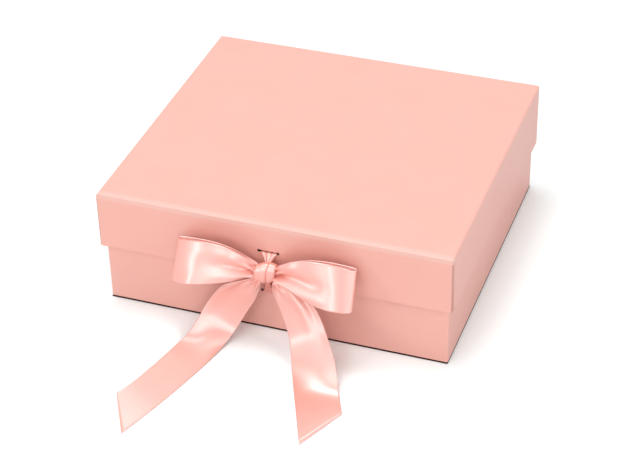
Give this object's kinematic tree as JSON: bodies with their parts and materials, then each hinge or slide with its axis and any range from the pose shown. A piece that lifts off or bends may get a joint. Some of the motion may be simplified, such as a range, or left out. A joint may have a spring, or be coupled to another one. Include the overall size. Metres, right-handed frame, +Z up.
{
  "type": "gift box",
  "caption": "Folding rigid gift box of wrapped board with a paper-hinged lid, tied shut with a satin ribbon bow.",
  "frame": {"origin": "centre of the base's underside, on the surface that the box stands on", "axes": "+X to the right, -Y to the front where the bow is, +Z up"},
  "size_m": [0.215, 0.3059, 0.0754],
  "materials": {
    "wrap_paper": "satin coated",
    "lining_paper": "matte",
    "grey_board": "matte",
    "satin_ribbon": "satin",
    "adhesive": "matte",
    "magnet_steel": "plated"
  },
  "bodies": {
    "base": {"base_bottom_board": "grey_board", "base_front_board": "grey_board", "base_back_board": "grey_board", "base_left_board": "grey_board", "base_right_board": "grey_board", "base_outer_wrap": "wrap_paper", "base_bottom_paper": "wrap_paper", "base_inner_lining": "lining_paper", "base_floor_lining": "lining_paper", "left_front_corner_tab": "lining_paper", "right_front_corner_tab": "lining_paper", "left_rear_corner_tab": "lining_paper", "right_rear_corner_tab": "lining_paper", "corner_adhesive_strips": "adhesive", "base_magnets": "magnet_steel", "hinge_paper": "wrap_paper", "ribbon_knot": "satin_ribbon", "ribbon_left_loop": "satin_ribbon", "ribbon_right_loop": "satin_ribbon", "ribbon_left_tail": "satin_ribbon", "ribbon_right_tail": "satin_ribbon", "ribbon_upper_strand": "satin_ribbon", "ribbon_lower_strand": "satin_ribbon", "ribbon_inner_strand": "satin_ribbon"},
    "lid": {"lid_top_board": "grey_board", "lid_front_flap_board": "grey_board", "lid_left_flap_board": "grey_board", "lid_right_flap_board": "grey_board", "lid_outer_wrap": "wrap_paper", "lid_inner_lining": "lining_paper", "lid_left_corner_tab": "lining_paper", "lid_right_corner_tab": "lining_paper", "lid_magnets": "magnet_steel"}
  },
  "joints": [
    {"name": "lid_hinge", "type": "hinge", "parent": "base", "child": "lid", "pos_m": [0, 0.09705, 0.07335], "axis": [-1, 0, 0], "range_deg": [0, 200], "deforming": ["hinge_paper", "ribbon_upper_strand"]}
  ]
}
